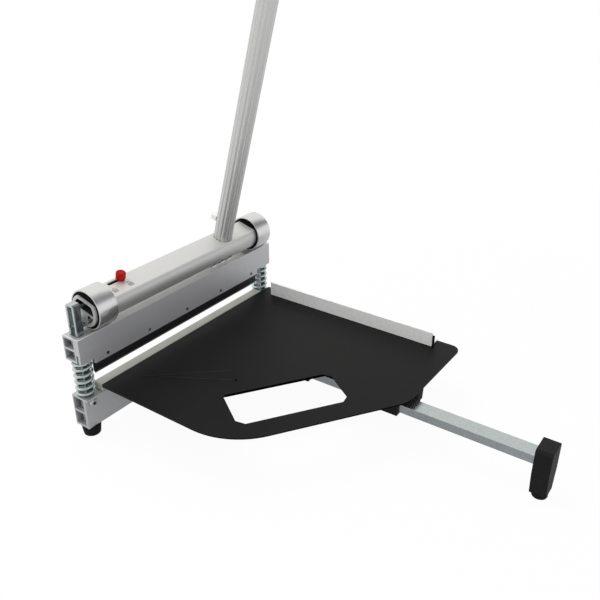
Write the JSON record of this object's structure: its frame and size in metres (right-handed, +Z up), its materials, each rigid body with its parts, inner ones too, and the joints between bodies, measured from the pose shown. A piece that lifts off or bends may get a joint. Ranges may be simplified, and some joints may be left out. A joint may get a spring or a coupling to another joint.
{
  "type": "laminate cutter",
  "caption": "Hand-levered laminate floor cutter: aluminium beams on sprung steel posts, a D-shaped lever shaft in turning rings, a black table with a mitre fence and a pull-out support arm.",
  "frame": {"origin": "centre of the footprint, on the floor", "axes": "+X along the blade from the lock's end to the handle's end, +Y from the table towards the beams, +Z up"},
  "size_m": [0.3984, 0.5745, 0.7244],
  "materials": {
    "satin_aluminium": "satin anodised extrusion",
    "turned_aluminium": "fine turned",
    "zinc_plated_steel": "bright zinc plate",
    "dark_blade_steel": "blackened, ground edge",
    "black_plastic": "satin moulded",
    "black_rubber": "matt",
    "red_plastic": "satin",
    "pale_nylon": "satin"
  },
  "bodies": {
    "base": {"base_beam": "satin_aluminium", "anvil_strip": "pale_nylon", "near_post": "zinc_plated_steel", "far_post": "zinc_plated_steel", "near_post_bolt": "zinc_plated_steel", "far_post_bolt": "zinc_plated_steel", "near_post_nut": "zinc_plated_steel", "far_post_nut": "zinc_plated_steel", "near_pivot_pin": "zinc_plated_steel", "far_pivot_pin": "zinc_plated_steel", "near_pivot_nut": "zinc_plated_steel", "near_spring": "zinc_plated_steel", "far_spring": "zinc_plated_steel", "table": "black_plastic", "table_bracket_1": "zinc_plated_steel", "table_bracket_2": "zinc_plated_steel", "bracket_bolt_1": "zinc_plated_steel", "bracket_bolt_2": "zinc_plated_steel", "fence_pivot_bolt": "zinc_plated_steel", "fence_pivot_nut": "zinc_plated_steel", "arm_guide_1": "black_plastic", "arm_guide_2": "black_plastic", "near_foot": "black_rubber", "far_foot": "black_rubber", "table_leg": "black_plastic", "leg_foot": "black_rubber"},
    "upper_beam_body": {"upper_beam": "satin_aluminium", "blade": "dark_blade_steel"},
    "lever_body": {"lever_shaft": "satin_aluminium", "shaft_bolt_1": "zinc_plated_steel", "shaft_bolt_2": "zinc_plated_steel", "shaft_bolt_3": "zinc_plated_steel", "handle_tube": "satin_aluminium", "handle_spigot": "zinc_plated_steel", "handle_bolt": "zinc_plated_steel", "handle_grip": "black_rubber"},
    "near_ring_body": {"near_ring": "turned_aluminium", "near_bush": "black_plastic"},
    "far_ring_body": {"far_ring": "turned_aluminium", "far_bush": "black_plastic"},
    "lock_body": {"lock_knob": "red_plastic", "lock_bolt": "zinc_plated_steel"},
    "fence_body": {"fence_bar": "zinc_plated_steel", "fence_end_cap": "black_plastic"},
    "extension_body": {"extension_arm": "zinc_plated_steel", "extension_stand": "black_plastic", "stand_foot": "black_rubber"}
  },
  "joints": [
    {"name": "lever_turn", "type": "hinge", "parent": "base", "child": "lever_body", "pos_m": [0, 0.26416, 0.1653], "axis": [1, 0, 0], "range_deg": [0, 82], "stiffness_Nm_per_rad": 1.12, "springref_deg": -40.68},
    {"name": "beam_slide", "type": "slide", "parent": "base", "child": "upper_beam_body", "axis": [0, 0, -1], "range_m": [0, 0.01806], "stiffness_N_per_m": 3000, "springref_m": -0.008, "deforming": ["near_spring", "far_spring"]},
    {"name": "near_ring_turn", "type": "hinge", "parent": "lever_body", "child": "near_ring_body", "pos_m": [0, 0.25975, 0.1812], "axis": [1, 0, 0], "range_deg": [-57.2, 0]},
    {"name": "far_ring_turn", "type": "hinge", "parent": "lever_body", "child": "far_ring_body", "pos_m": [0, 0.25975, 0.1812], "axis": [1, 0, 0], "range_deg": [-57.2, 0]},
    {"name": "lock_slide", "type": "slide", "parent": "lever_body", "child": "lock_body", "axis": [-1, 0, 0], "range_m": [0, 0.01]},
    {"name": "fence_swing", "type": "hinge", "parent": "base", "child": "fence_body", "pos_m": [0.18125, 0.21725, 0.075], "axis": [0, 0, -1], "range_deg": [0, 45]},
    {"name": "extension_slide", "type": "slide", "parent": "base", "child": "extension_body", "axis": [0, 1, 0], "range_m": [0, 0.135]}
  ],
  "couplings": [
    {"joint": "beam_slide", "follows": "lever_turn", "m_per_rad": 0.012612},
    {"joint": "near_ring_turn", "follows": "lever_turn", "ratio": -0.6963},
    {"joint": "far_ring_turn", "follows": "lever_turn", "ratio": -0.6963}
  ]
}
